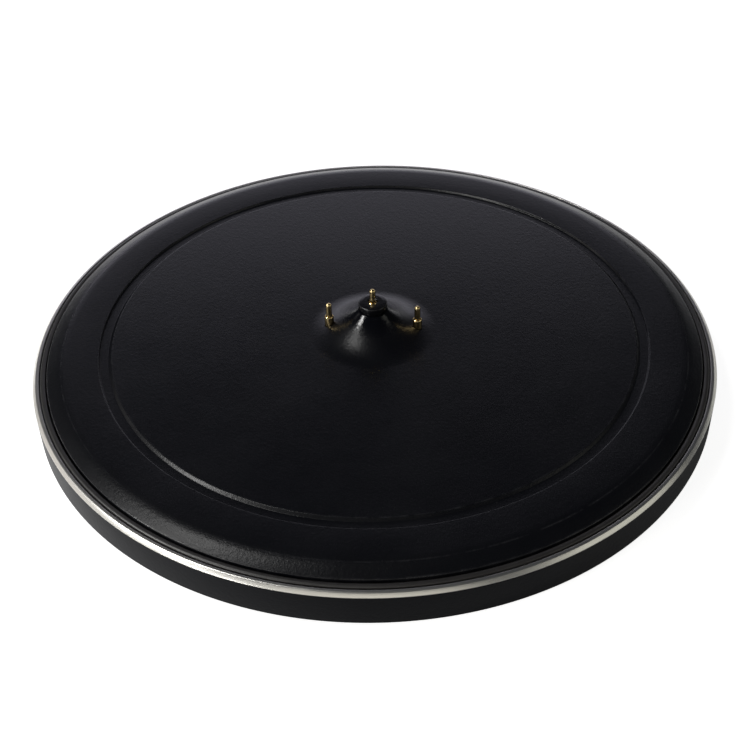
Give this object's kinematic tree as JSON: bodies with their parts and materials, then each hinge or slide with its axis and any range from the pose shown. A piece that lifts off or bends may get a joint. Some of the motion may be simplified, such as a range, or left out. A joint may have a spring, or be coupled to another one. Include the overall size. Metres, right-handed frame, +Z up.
{
  "type": "turntable display stand",
  "caption": "Low round motor-driven display turntable with a bevelled platter, a ring groove and sprung power contacts on and beside a central cone.",
  "frame": {"origin": "on the surface that the feet stand on, at the turning axis", "axes": "+Z up along the turning axis, +Y towards the back, where the inlet and the switch are"},
  "size_m": [0.25, 0.25, 0.0363],
  "materials": {
    "skirt_plastic": "fine-textured moulded black",
    "black_plastic": "fine-textured moulded black",
    "gloss_black": "polished black",
    "bright_trim": "satin bright plating, slightly warm",
    "gold": "polished gold plating",
    "steel": "bright zinc",
    "bronze": "sintered, oiled",
    "copper": "bright copper",
    "rubber": "matte",
    "gear_plastic": "natural acetal",
    "circuit_board": "green solder resist",
    "sleeve_blue": "printed sleeve, no print",
    "red_wire": "soft sleeve"
  },
  "bodies": {
    "base": {"base_pan": "skirt_plastic", "rim_bezel": "gloss_black", "trim_ring": "bright_trim", "centre_bush": "bronze", "centre_cap": "black_plastic", "rubber_foot_1": "rubber", "rubber_foot_2": "rubber", "rubber_foot_3": "rubber", "rubber_foot_4": "rubber", "case_screw_1": "steel", "case_screw_2": "steel", "case_screw_3": "steel", "case_screw_4": "steel", "gearbox_case": "gear_plastic", "motor_can": "steel", "motor_end_cap": "black_plastic", "motor_clamp": "steel", "motor_screw_1": "steel", "motor_screw_2": "steel", "control_board": "circuit_board", "board_screw_1": "steel", "board_screw_2": "steel", "dc_jack": "black_plastic", "dc_jack_pin": "steel", "switch_body": "steel", "driver_chip": "black_plastic", "capacitor": "sleeve_blue", "motor_lead": "red_wire", "brush_lead": "red_wire", "brush_block": "black_plastic", "brush_leaf_inner": "copper", "brush_leaf_outer": "copper"},
    "turning_platter": {"platter": "black_plastic", "contact_cap": "black_plastic", "drive_gear": "gear_plastic", "spindle": "steel", "retaining_clip": "steel", "thrust_washer": "gear_plastic", "slip_ring_board": "circuit_board", "slip_track_inner": "copper", "slip_track_outer": "copper", "centre_pin_lead": "red_wire", "gear_screw_1": "steel", "gear_screw_2": "steel", "gear_screw_3": "steel", "pin_barrel_centre": "gold", "pin_barrel_left": "gold", "pin_barrel_right": "gold", "pin_spring_centre": "steel", "pin_spring_left": "steel", "pin_spring_right": "steel"},
    "drive_shaft": {"output_shaft": "steel", "drive_pinion": "gear_plastic"},
    "roller_1": {"support_roller_1": "gear_plastic"},
    "roller_2": {"support_roller_2": "gear_plastic"},
    "roller_3": {"support_roller_3": "gear_plastic"},
    "plunger_centre": {"pin_plunger_centre": "gold"},
    "plunger_left": {"pin_plunger_left": "gold"},
    "plunger_right": {"pin_plunger_right": "gold"},
    "switch_lever": {"switch_slider": "black_plastic"}
  },
  "joints": [
    {"name": "platter_spin", "type": "hinge", "parent": "base", "child": "turning_platter", "pos_m": [0, 0, 0.0128], "axis": [0, 0, 1], "continuous": true},
    {"name": "pinion_spin", "type": "hinge", "parent": "base", "child": "drive_shaft", "pos_m": [0, 0.0475, 0.0142], "axis": [0, 0, 1], "continuous": true},
    {"name": "roller_1_spin", "type": "hinge", "parent": "base", "child": "roller_1", "pos_m": [0.09093, 0.0525, 0.01105], "axis": [0.866, 0.5, 0], "continuous": true},
    {"name": "roller_2_spin", "type": "hinge", "parent": "base", "child": "roller_2", "pos_m": [-0.09093, 0.0525, 0.01105], "axis": [-0.866, 0.5, 0], "continuous": true},
    {"name": "roller_3_spin", "type": "hinge", "parent": "base", "child": "roller_3", "pos_m": [0, -0.105, 0.01105], "axis": [0, -1, 0], "continuous": true},
    {"name": "plunger_centre_press", "type": "slide", "parent": "turning_platter", "child": "plunger_centre", "axis": [0, 0, 1], "range_m": [-0.003, 0], "stiffness_N_per_m": 150, "springref_m": 0.002, "deforming": ["pin_spring_centre"]},
    {"name": "plunger_left_press", "type": "slide", "parent": "turning_platter", "child": "plunger_left", "axis": [0, 0, 1], "range_m": [-0.003, 0], "stiffness_N_per_m": 150, "springref_m": 0.002, "deforming": ["pin_spring_left"]},
    {"name": "plunger_right_press", "type": "slide", "parent": "turning_platter", "child": "plunger_right", "axis": [0, 0, 1], "range_m": [-0.003, 0], "stiffness_N_per_m": 150, "springref_m": 0.002, "deforming": ["pin_spring_right"]},
    {"name": "switch_slide", "type": "slide", "parent": "base", "child": "switch_lever", "axis": [1, 0, 0], "range_m": [-0.0015, 0.0015]}
  ],
  "couplings": [
    {"joint": "pinion_spin", "follows": "platter_spin", "ratio": -5.3333},
    {"joint": "roller_1_spin", "follows": "platter_spin", "ratio": -23.333},
    {"joint": "roller_2_spin", "follows": "platter_spin", "ratio": -23.333},
    {"joint": "roller_3_spin", "follows": "platter_spin", "ratio": -23.333}
  ]
}
